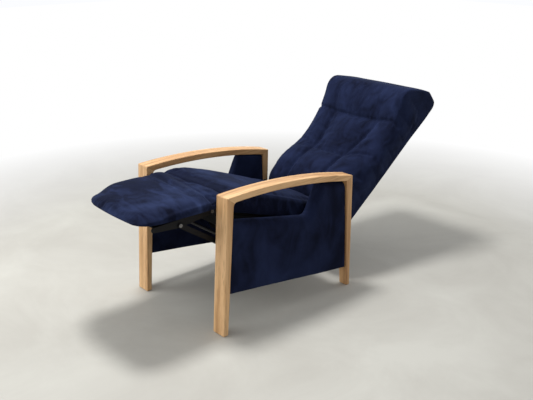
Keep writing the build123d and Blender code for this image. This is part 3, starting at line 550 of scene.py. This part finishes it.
# The back, one upholstered body. A row holds the place along the back, half the width, the heights of the
# rear and of the edge at the side, half the width between the seams, and the heights at the seam, the centre
# and the bolster
back = {
    "rows": (
        (-0.044, 0.240, -0.188, -0.112, 0.107, -0.108, -0.104, -0.105),
        (-0.010, 0.244, -0.194, -0.078, 0.107, -0.066, -0.060, -0.061),
        (0.028, 0.246, -0.193, -0.030, 0.107, -0.004, 0.004, 0.002),
        (0.060, 0.249, -0.192, -0.010, 0.107, 0.014, 0.024, 0.022),
        (0.150, 0.253, -0.190, 0.000, 0.107, 0.024, 0.034, 0.034),
        (0.225, 0.257, -0.188, -0.010, 0.106, 0.010, 0.018, 0.020),
        (0.290, 0.259, -0.186, -0.028, 0.105, -0.014, -0.006, -0.006),
        (0.345, 0.260, -0.186, -0.039, 0.112, -0.028, -0.014, -0.014),
        (0.436, 0.260, -0.187, -0.035, 0.132, -0.034, -0.018, -0.015),
        (0.540, 0.260, -0.189, -0.010, 0.154, -0.018, -0.016, -0.010),
        (0.600, 0.260, -0.191, 0.017, 0.156, 0.018, 0.020, 0.020),
        (0.655, 0.262, -0.193, 0.043, 0.156, 0.042, 0.043, 0.044),
        (0.700, 0.262, -0.195, 0.050, 0.156, 0.045, 0.045, 0.047),
        (0.732, 0.262, -0.196, 0.035, 0.156, 0.031, 0.031, 0.032),
        (0.765, 0.260, -0.196, -0.008, 0.156, -0.005, -0.004, -0.005),
        (0.800, 0.260, -0.195, -0.050, 0.156, -0.045, -0.043, -0.045),
        (0.826, 0.259, -0.187, -0.086, 0.156, -0.083, -0.082, -0.083),
        (0.838, 0.257, -0.170, -0.108, 0.156, -0.106, -0.105, -0.106),
    ),
    "cuts": (42, 70, 14),
    "rounds": 4,
    "headSeam": ((-0.250, 0.545), (-0.150, 0.538), (0.0, 0.532), (0.150, 0.538), (0.250, 0.545)),
    "lumbarSeam": (
        (-0.240, 0.338), (-0.180, 0.322), (-0.105, 0.292), (0.0, 0.284), (0.105, 0.292), (0.180, 0.322),
        (0.240, 0.338),
    ),
    "sideSeam": (
        (0.150, 0.536), (0.132, 0.436), (0.112, 0.345), (0.105, 0.290), (0.107, 0.150), (0.107, 0.030),
    ),
    "seamDepth": 0.009,
    "seamWidth": 0.008,
    "seamReach": 0.09,
    "seamRear": 0.03,
    "puckerDepth": 0.0034,
    "puckerWidth": 0.035,
    "puckers": {"scale": (48, 9), "seed": 2.5},
    "finePuckerShare": 0.5,
    "finePuckers": {"scale": (95, 14), "seed": 7.7},
    "unevenDepth": 0.0014,
    "uneven": {"scale": (9, 7), "seed": 4.2},
    "heldSeam": 0.007,
    "heldRear": -0.150,
    "heldHead": 0.690,
    "pressure": 4.0,
    "cap": 0.016,
    "spare": 0.02,
}
mirroredSeam = tuple((-x, along) for x, along in back["sideSeam"])
backSeams = (back["headSeam"], back["lumbarSeam"], back["sideSeam"], mirroredSeam)


def layBack(a, b, c):
    along = alongRows(back["rows"], b)
    half, rear, side, seamX, seam, centre, bolster = rowAt(back["rows"], along)
    x = a * half
    if abs(x) < seamX:
        top = centre + (seam - centre) * (x / seamX) ** 2
    else:
        # a curve through the heights of the seam, of the bolster half way out and of the side
        t = (abs(x) - seamX) / (half - seamX)
        top = seam * (1 - t) * (1 - 2 * t) + bolster * 4 * t * (1 - t) + side * t * (2 * t - 1)
    return backPoint(x, along, between(rear, top, c))


def nearestSeam(x, along):
    return min(lineDistance((x, along), seam) for seam in backSeams)


def backHeld(point):
    x, along, out = backPlace(point)
    if out < back["heldRear"] or along > back["heldHead"]:
        return True
    return nearestSeam(x, along)[0] < back["heldSeam"]


def backFolds(point, normal):
    x, along, out = backPlace(point)
    if out < back["heldRear"] + back["seamRear"]:
        return 0.0
    depth = back["unevenDepth"] * ripple(x, along, **back["uneven"])
    distance, run = nearestSeam(x, along)
    if distance < back["seamReach"]:
        pucker = ripple(run, distance, **back["puckers"])
        pucker += back["finePuckerShare"] * ripple(run, distance, **back["finePuckers"])
        groove = back["seamDepth"] * bell(distance, back["seamWidth"])
        depth += groove + back["puckerDepth"] * pucker * bell(distance, back["puckerWidth"])
    return depth


backPiece = softBlock("backCloth", back["cuts"], layBack, back["rounds"])
inflate(backPiece, backHeld, back["pressure"], back["cap"], back["spare"])
refine(backPiece)
press(backPiece, backFolds)
finishSoft(backPiece, backSuede, "back_cushion", "back_cover", fill=0.75)
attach(backPiece, "back")
print("back done")

# The seat's cushion. A row holds the place along the seat, half the width, and the heights at the side and
# the crown
seat = {
    "rows": (
        (-0.020, 0.241, 0.058, 0.070),
        (0.000, 0.244, 0.074, 0.084),
        (0.040, 0.245, 0.085, 0.094),
        (0.100, 0.245, 0.092, 0.103),
        (0.230, 0.245, 0.094, 0.106),
        (0.390, 0.245, 0.088, 0.101),
        (0.503, 0.245, 0.083, 0.096),
        (0.590, 0.245, 0.080, 0.093),
        (0.611, 0.241, 0.072, 0.086),
    ),
    "base": 0.0034,
    "crownPower": 3,
    "cuts": (36, 44, 7),
    "rounds": 3,
    "foldBase": 0.03,
    "foldDepth": 0.0065,
    "foldReach": 0.07,
    "folds": {"scale": (3.2, 26), "lean": (0, 2.0), "seed": 0.7},
    "unevenDepth": 0.0012,
    "uneven": {"scale": (7, 11), "seed": 3.1},
    "heldHeight": 0.012,
    "pressure": 4.0,
    "cap": 0.010,
    "spare": 0.01,
}


def laySeat(a, b, c):
    along = alongRows(seat["rows"], b)
    half, side, crown = rowAt(seat["rows"], along)
    top = crown + (side - crown) * abs(a) ** seat["crownPower"]
    return seatPoint(a * half, along, between(seat["base"], top, c))


def seatHeld(point):
    return seatPlace(point)[2] < seat["base"] + seat["heldHeight"]


def seatFolds(point, normal):
    # folds across the front, where the cloth runs on to the legrest
    x, along, out = seatPlace(point)
    if out < seat["foldBase"]:
        return 0.0
    near = bell(max(0.0, along), seat["foldReach"])
    fold = near * seat["foldDepth"] * ripple(x, along, **seat["folds"])
    return fold + seat["unevenDepth"] * ripple(x, along, **seat["uneven"])


seatPiece = softBlock("seatCushionCloth", seat["cuts"], laySeat, seat["rounds"])
inflate(seatPiece, seatHeld, seat["pressure"], seat["cap"], seat["spare"])
refine(seatPiece)
press(seatPiece, seatFolds)
finishSoft(seatPiece, materials["navy_suede"], "seat_cushion", fill=0.8)
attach(seatPiece, "seat")
print("seat cushion done")

# The legrest's pad and the bridge to the seat under one cover. A row holds the place, half the width, and the
# heights at the side and the crown
legrest = {
    "rows": (
        (-0.312, 0.166, 0.5585, 0.561),
        (-0.302, 0.200, 0.561, 0.570),
        (-0.275, 0.226, 0.565, 0.582),
        (-0.235, 0.241, 0.570, 0.593),
        (-0.180, 0.246, 0.575, 0.600),
        (-0.110, 0.247, 0.579, 0.604),
        (-0.040, 0.247, 0.580, 0.604),
        (0.010, 0.246, 0.580, 0.603),
        (0.050, 0.246, 0.581, 0.603),
        (0.075, 0.246, 0.584, 0.604),
        (0.0975, 0.245, 0.586, 0.603),
    ),
    "base": 0.5524,
    "crownPower": 5.0,
    "frontStart": -0.16,
    "frontLength": 0.085,
    "frontBow": 0.010,
    "bowCentre": 0.2,
    "bowReach": 1.2,
    "farCorner": 0.034,
    "farCornerStart": -0.235,
    "farCornerLength": 0.065,
    "farCornerPower": 1.5,
    "farEdge": 0.0045,
    "farCrownLoss": 3.1,
    "cuts": (44, 40, 3),
    "rounds": 1,
    "levels": 2,
    "upwards": 0.15,
    "jointFoldDepth": 0.0110,
    "jointPlace": 0.045,
    "jointReach": 0.05,
    "jointFolds": {"scale": (1.6, 27), "lean": (0, 3.0), "shift": 4, "seed": 1.3},
    "jointFoldGain": 3,
    "unevenDepth": 0.0028,
    "uneven": {"scale": (5.0, 8), "seed": 5.1},
    "fineUnevenShare": 0.5,
    "fineUneven": {"scale": (13, 15), "seed": 8.2},
    "pleatDepth": 0.0026,
    "pleatPlace": -0.312,
    "pleatReach": 0.030,
    "pleats": {"scale": (75, 10), "seed": 3.3},
    "hollowDepth": 0.004,
    "hollowPlace": (0.10, -0.12),
    "hollowSlant": 0.9,
    "hollowWidth": 0.05,
    "hollowCentre": -0.10,
    "hollowReach": 0.10,
    "heldHeight": 0.003,
    "pressure": 3.0,
    "cap": 0.006,
    "spare": 0.01,
}


def layLegrest(a, b, c):
    along = alongRows(legrest["rows"], b)
    half, side, crown = rowAt(legrest["rows"], along)
    front = clamped((legrest["frontStart"] - along) / legrest["frontLength"])
    power = legrest["crownPower"]
    if a < 0:
        # the far corner is cut back and flatter, down to a thin edge
        corner = clamped((legrest["farCornerStart"] - along) / legrest["farCornerLength"])
        half -= legrest["farCorner"] * corner ** legrest["farCornerPower"]
        share = front * front * (3 - 2 * front)
        side += (legrest["base"] + legrest["farEdge"] - side) * share
        power -= legrest["farCrownLoss"] * share
    top = crown + (side - crown) * abs(a) ** power
    bow = 1 - (a - legrest["bowCentre"]) ** 2 / legrest["bowReach"] ** 2
    y = along - legrest["frontBow"] * front * bow
    return sidePoint(a * half, y, between(legrest["base"], top, c))


def legrestHeld(point):
    return point.z < legrest["base"] + legrest["heldHeight"]


def legrestFolds(point, normal):
    x, y = point.x, point.y + chair["frontToCentre"]
    if normal.z < legrest["upwards"]:
        return 0.0
    # long folds over the joint to the seat
    crease = 1 - legrest["jointFoldGain"] * abs(ripple(x, y, **legrest["jointFolds"]))
    depth = legrest["jointFoldDepth"] * crease * bell(y - legrest["jointPlace"], legrest["jointReach"])
    # the whole pad's unevenness
    uneven = ripple(x, y, **legrest["uneven"])
    uneven += legrest["fineUnevenShare"] * ripple(x, y, **legrest["fineUneven"])
    depth += legrest["unevenDepth"] * uneven
    # short pleats square to the front seam
    near = bell(y - legrest["pleatPlace"], legrest["pleatReach"])
    depth += legrest["pleatDepth"] * near * ripple(x, y, **legrest["pleats"])
    # one slanting hollow
    away = x - legrest["hollowPlace"][0] + legrest["hollowSlant"] * (y - legrest["hollowPlace"][1])
    near = bell(y - legrest["hollowCentre"], legrest["hollowReach"])
    return depth + legrest["hollowDepth"] * bell(away, legrest["hollowWidth"]) * near


legrestPiece = softBlock("legrestCloth", legrest["cuts"], layLegrest, legrest["rounds"])
inflate(legrestPiece, legrestHeld, legrest["pressure"], legrest["cap"], legrest["spare"])
refine(legrestPiece, legrest["levels"])
press(legrestPiece, legrestFolds)
finishSoft(legrestPiece, legrestSuede, "legrest_pad", "seat_bridge_pad", fill=0.6)
tuple(sidePoint(0, 0.060, 0.57))
tuple(sidePoint(0, -0.010, 0.57))
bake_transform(legrestPiece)
print("legrest done")

# The side panels. The lines along the legs, front and rear, are given as height and place, bottom and top as
# place and height, and columns shares out the upright lines of the mesh
panel = {
    "inner": 0.2635,
    "outer": 0.3215,
    "front": ((0.1895, 0.0436), (0.5100, 0.0643)),
    "rear": ((0.0935, 0.7659), (0.5405, 0.7460)),
    "bottom": ((0.0436, 0.1895), (0.7659, 0.0935)),
    "top": (
        (0.0643, 0.5100), (0.4960, 0.4238), (0.5130, 0.4250), (0.5270, 0.4360), (0.5910, 0.5672),
        (0.6200, 0.5635), (0.6500, 0.5588), (0.7000, 0.5497), (0.7460, 0.5405),
    ),
    "columns": ((0, 0.0643), (40, 0.4960), (46, 0.5130), (52, 0.5270), (74, 0.5910), (100, 0.7460)),
    "cuts": (3, 99, 46),
    "rounds": 1,
    "risePower": 1.25,
    "endPower": 4,
    "outerRoll": 0.040,
    "innerRoll": 0.014,
    "sideways": 0.5,
    "foldDepth": 0.0016,
    "foldPlace": 0.66,
    "foldReach": 0.16,
    "folds": {"scale": (17, 2.5), "lean": (7, 0)},
    "foldSeed": 6.1,
    "unevenShare": 0.8,
    "uneven": {"scale": (5, 5)},
    "unevenSeed": 2.2,
}


def rollBack(roll, below):
    # how far a rounded edge lies inside the face at a distance below the edge
    lack = max(0.0, roll - below)
    return roll - math.sqrt(max(0.0, roll ** 2 - lack ** 2))


def makeSidePanel(name, sign):
    top = panel["top"]

    def layPanel(a, b, c):
        y = lineHeight(panel["columns"], alongRows(panel["columns"], b))
        low, high = lineHeight(panel["bottom"], y), lineHeight(top, y)
        rise = 1 - (1 - (c + 1) / 2) ** panel["risePower"]
        z = low + rise * (high - low)
        # the first and last columns follow the slanting legs
        front, rear = lineHeight(panel["front"], z), lineHeight(panel["rear"], z)
        t = (y - top[0][0]) / (top[-1][0] - top[0][0])
        power = panel["endPower"]
        y += (1 - t) ** power * (front - top[0][0]) + t ** power * (rear - top[-1][0])
        below = lineDistance((y, z), top)[0]
        inner = panel["inner"] + rollBack(panel["innerRoll"], below)
        outer = panel["outer"] - rollBack(panel["outerRoll"], below)
        return sidePoint(sign * between(inner, outer, a), y, z)

    def panelFolds(point, normal):
        y = point.y + chair["frontToCentre"]
        if abs(normal.x) < panel["sideways"]:
            return 0.0
        pull = bell(y - panel["foldPlace"], panel["foldReach"])
        fold = ripple(y, point.z, seed=panel["foldSeed"] + sign, **panel["folds"])
        uneven = ripple(y, point.z, seed=panel["unevenSeed"] + sign, **panel["uneven"])
        return panel["foldDepth"] * (pull * fold + panel["unevenShare"] * uneven)

    piece = softBlock(name, panel["cuts"], layPanel, panel["rounds"])
    refine(piece)
    press(piece, panelFolds)
    return piece


for side, sign in (("left", 1), ("right", -1)):
    panelPiece = makeSidePanel(f"{side}PanelCloth", sign)
    finishSoft(panelPiece, panelSuede, f"{side}_side_panel", fill=0.9)
    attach(panelPiece, "base")
print("side panels done")

# Floor, light and camera
stage = {
    "floorSize": 14,
    "floorColour": (0.48, 0.465, 0.42),
    "cloudColour": (0.56, 0.55, 0.50),
    "cloudScale": 1.6,
    "cloudStops": (0.35, 0.65),
    "floorRough": 0.7,
    "fadeStart": 1.5,
    "fadeEnd": 2.9,
    "skyColour": (0.97, 0.98, 1.0),
    "worldLight": 0.42,
}
# a lamp's place, the point that it shines at, its width in metres and its power in watts
lamps = {
    "ceilingLamp": ((-0.4, -0.3, 3.4), (0, 0, 0.3), 0.7, 84),
    "windowLamp": ((-1.6, -3.0, 1.8), (0, 0, 0.4), 3.2, 72),
    "fillLamp": ((3.2, -2.0, 1.8), (0, 0, 0.4), 2.6, 8),
    "rearLamp": ((0.6, 3.2, 2.8), (0, 0, 0.5), 2.4, 22),
}


def seenDirectly(finish):
    # 1 for what the camera sees itself, in a gloss or through something clear, 0 for light on the chair
    camera = finish.add("ShaderNodeLightPath", out="Is Camera Ray")
    gloss = finish.add("ShaderNodeLightPath", out="Is Glossy Ray")
    clear = finish.add("ShaderNodeLightPath", out="Is Transmission Ray")
    return finish.add("ShaderNodeMath", {"operation": "MINIMUM"}, {0: camera + gloss + clear, 1: 1.0})


def makeFloorFinish(name):
    finish = Finish(name, Roughness=stage["floorRough"])
    spot = finish.place()
    clouds = finish.cloud(spot, stage["cloudScale"], detail=7.0, rough=0.62, distort=0.6)
    low, high = stage["cloudStops"]
    shade = finish.ramp(clouds, (low, 0.0), (high, 1.0))
    finish.colour(finish.mix(shade, stage["floorColour"], stage["cloudColour"]))
    # further away the floor fades to white where it is seen
    away = finish.add("ShaderNodeVectorMath", {"operation": "LENGTH"}, {0: spot}, out="Value")
    spread = 1 / (stage["fadeEnd"] - stage["fadeStart"])
    fade = finish.ramp((away - stage["fadeStart"]) * spread, (0.0, 0.0), (1.0, 1.0))
    glow = finish.add("ShaderNodeEmission", values={"Color": (1.0, 1.0, 1.0), "Strength": 1.0})
    lit = Wire(finish, finish.shader.outputs[0])
    surface = finish.add("ShaderNodeMixShader", values={0: fade * seenDirectly(finish), 1: lit, 2: glow})
    finish.set(finish.tree.nodes["Material Output"], "Surface", surface)
    return finish.material


bm = bmesh.new()
bmesh.ops.create_grid(bm, x_segments=1, y_segments=1, size=stage["floorSize"])
floor = addObject("floor", bm)
floor.data.materials.append(makeFloorFinish("paleFloor"))

for name, (place, aim, size, power) in lamps.items():
    lamp = bpy.data.lights.new(name, "AREA")
    lamp.shape = "DISK"
    lamp.size = size
    lamp.energy = power
    lampObject = bpy.data.objects.new(name, lamp)
    lampObject.location = place
    lampObject.rotation_euler = (Vector(aim) - Vector(place)).to_track_quat("-Z", "Y").to_euler()
    scene.collection.objects.link(lampObject)


class Sky(Finish):
    # the same way of writing nodes, for the world
    def __init__(self, name):
        self.world = bpy.data.worlds.new(name)
        self.world.use_nodes = True
        self.tree = self.world.node_tree
        self.shader = self.tree.nodes["Background"]


sky = Sky("studio")
seen = seenDirectly(sky)
sky.set(sky.shader, "Color", stage["skyColour"])
sky.set(sky.shader, "Strength", seen + (1 - seen) * stage["worldLight"])
scene.world = sky.world

# the camera's place, its turns in degrees and its lens in millimetres
cameraView = {
    "place": (2.584, -2.352, 1.644),
    "yaw": 48.2,
    "pitch": 19.6,
    "roll": 0.15,
    "lens": 51.47,
    "sensorWidth": 36,
}
yaw, pitch, roll = (math.radians(cameraView[name]) for name in ("yaw", "pitch", "roll"))
forward = Vector((-math.sin(yaw) * math.cos(pitch), math.cos(yaw) * math.cos(pitch), -math.sin(pitch)))
level = Vector((math.cos(yaw), math.sin(yaw), 0))
upright = level.cross(forward)
right = math.cos(roll) * level + math.sin(roll) * upright
up = math.cos(roll) * upright - math.sin(roll) * level
lens = bpy.data.cameras.new("camera")
lens.lens = cameraView["lens"]
lens.sensor_width = cameraView["sensorWidth"]
lens.sensor_fit = "HORIZONTAL"
camera = bpy.data.objects.new("camera", lens)
turned = Matrix((right, up, -forward)).transposed().to_4x4()
camera.matrix_world = Matrix.Translation(cameraView["place"]) @ turned
scene.collection.objects.link(camera)
scene.camera = camera
print("stage done")
